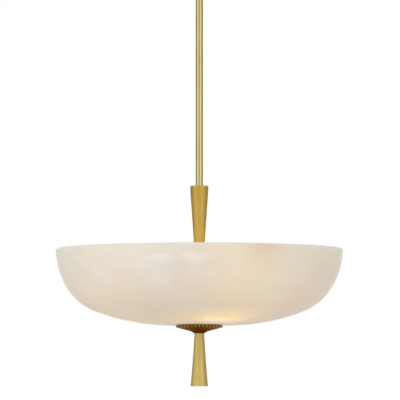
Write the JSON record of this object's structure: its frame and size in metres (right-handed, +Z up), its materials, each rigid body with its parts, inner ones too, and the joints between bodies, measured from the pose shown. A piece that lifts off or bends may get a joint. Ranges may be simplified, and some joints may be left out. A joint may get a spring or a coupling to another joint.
{
  "type": "bowl pendant light",
  "caption": "Wide stone bowl uplighter hung on a slim brass stem, with tapered brass trumpets above and below and a fluted brass dish under the bowl; swivels at its ceiling canopy.",
  "frame": {"origin": "centre of the mounting strap's top face, on the ceiling, between its two slots", "axes": "+Z up along the stem, +X along the mounting strap; azimuth 0 of the picture looks along +Y"},
  "size_m": [0.6098, 0.6098, 0.8775],
  "materials": {
    "zinc_steel": "zinc plated",
    "green_screw": "green passivated",
    "satin_brass": "satin, brushed lengthwise",
    "polished_brass": "soft polish",
    "aged_brass": "aged, darker in the flutes",
    "turned_brass": "as turned",
    "white_nylon": "moulded",
    "alabaster": "honed and waxed, cloudy veins, lets light through",
    "gasket_silicone": "matte",
    "porcelain": "white glaze",
    "nickel_plate": "nickel plated",
    "lamp_housing": "moulded white",
    "opal_glass": "opal, lit warm",
    "black_lead": "insulated wire",
    "white_lead": "insulated wire",
    "green_lead": "insulated wire"
  },
  "bodies": {
    "ceiling_mount": {"mounting_strap": "zinc_steel", "canopy_studs": "zinc_steel", "stud_lock_nuts": "zinc_steel", "earth_screw": "green_screw", "canopy": "satin_brass", "canopy_cap_nuts": "satin_brass"},
    "swivel_ring": {"swivel_seat_ring": "white_nylon"},
    "pendant": {"swivel_washer": "zinc_steel", "swivel_lock_nut": "zinc_steel", "inner_washer": "zinc_steel", "bowl_washer": "zinc_steel", "bowl_lock_nut": "zinc_steel", "spindle": "zinc_steel", "trumpet_cap": "satin_brass", "upper_trumpet": "satin_brass", "trumpet_collar": "satin_brass", "finial": "satin_brass", "finial_plug": "satin_brass", "cluster_body": "satin_brass", "cluster_cover": "satin_brass", "distance_sleeve": "satin_brass", "swivel_ball": "polished_brass", "stem_tube": "polished_brass", "inner_stem": "polished_brass", "fluted_dish": "aged_brass", "top_nipple": "turned_brass", "stem_top_bush": "turned_brass", "stem_coupling": "turned_brass", "socket_nipples": "turned_brass", "centre_contact_1": "turned_brass", "centre_contact_2": "turned_brass", "centre_contact_3": "turned_brass", "bowl_hole_bush": "white_nylon", "splice_caps": "white_nylon", "alabaster_bowl": "alabaster", "inner_gasket": "gasket_silicone", "outer_gasket": "gasket_silicone", "lampholder_1": "porcelain", "lampholder_2": "porcelain", "lampholder_3": "porcelain", "screw_shell_1": "nickel_plate", "screw_shell_2": "nickel_plate", "screw_shell_3": "nickel_plate", "lamp_cap_1": "nickel_plate", "lamp_cap_2": "nickel_plate", "lamp_cap_3": "nickel_plate", "lamp_tip_1": "nickel_plate", "lamp_tip_2": "nickel_plate", "lamp_tip_3": "nickel_plate", "lamp_body_1": "lamp_housing", "lamp_body_2": "lamp_housing", "lamp_body_3": "lamp_housing", "lamp_globe_1": "opal_glass", "lamp_globe_2": "opal_glass", "lamp_globe_3": "opal_glass", "lead_live": "black_lead", "lead_neutral": "white_lead", "socket_leads": "white_lead", "lead_earth": "green_lead"}
  },
  "joints": [
    {"name": "swivel_turn", "type": "hinge", "parent": "ceiling_mount", "child": "swivel_ring", "pos_m": [0, 0, -0.0239], "axis": [0, 0, 1], "range_deg": [-175, 175]},
    {"name": "swivel_tilt", "type": "hinge", "parent": "swivel_ring", "child": "pendant", "pos_m": [0, 0, -0.0239], "axis": [1, 0, 0], "range_deg": [-20, 20]}
  ]
}
